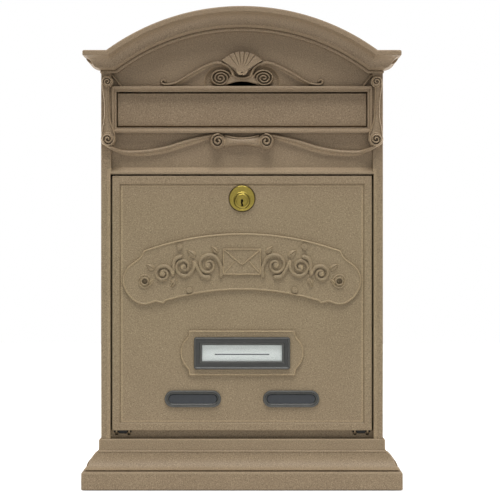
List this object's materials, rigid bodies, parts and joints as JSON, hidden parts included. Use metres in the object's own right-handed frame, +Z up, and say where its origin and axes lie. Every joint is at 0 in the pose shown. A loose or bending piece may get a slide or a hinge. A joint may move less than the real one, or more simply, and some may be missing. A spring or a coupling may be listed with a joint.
{
  "type": "wall mounted mailbox",
  "caption": "Wall mounted cast mailbox with an arched cornice, an inward letter flap, a lockable bottom hinged door with name plate and inspection windows, and a moulded plinth.",
  "frame": {"origin": "centre of the four wall holes, on the flat back face that lies against the wall", "axes": "+X across the front towards the right as seen from the front, +Y out of the back into the wall (the front faces -Y), +Z up"},
  "size_m": [0.292, 0.101, 0.44],
  "materials": {
    "casting": "fine sandy powder coat, bronze beige",
    "steel": "zinc plated",
    "spring_steel": "spring wire",
    "rubber": "matte",
    "grey_plastic": "fine satin moulded",
    "clear_plastic": "clear moulded plastic",
    "smoked_plastic": "smoked translucent plastic",
    "card": "plain white card",
    "brass": "satin brass"
  },
  "bodies": {
    "box": {"rear_box": "casting", "front_frame": "casting", "frame_screws": "steel", "door_hinge_pins": "steel", "flap_pin": "steel", "flap_pin_clips": "steel", "flap_spring": "spring_steel", "door_bumpers": "rubber"},
    "door": {"door_panel": "casting", "hinge_brackets": "steel", "hinge_bracket_screws": "steel", "name_frame": "grey_plastic", "name_window": "clear_plastic", "name_card": "card", "name_retainer": "grey_plastic", "window_bezel_left": "grey_plastic", "window_bezel_right": "grey_plastic", "window_pane_left": "smoked_plastic", "window_pane_right": "smoked_plastic", "lock_body": "brass", "lock_washer": "steel", "lock_nut": "steel"},
    "lock": {"lock_plug": "brass", "lock_cam": "steel", "cam_screw": "steel"},
    "flap": {"letter_flap": "casting"}
  },
  "joints": [
    {"name": "door_hinge", "type": "hinge", "parent": "box", "child": "door", "pos_m": [0, -0.078, -0.1775], "axis": [1, 0, 0], "range_deg": [0, 90]},
    {"name": "lock_turn", "type": "hinge", "parent": "door", "child": "lock", "pos_m": [0, -0.07, 0.0332], "axis": [0, -1, 0], "range_deg": [0, 90]},
    {"name": "flap_hinge", "type": "hinge", "parent": "box", "child": "flap", "pos_m": [0, -0.07, 0.136], "axis": [1, 0, 0], "range_deg": [0, 75], "stiffness_Nm_per_rad": 0.02, "springref_deg": -34.38, "deforming": ["flap_spring"]}
  ]
}
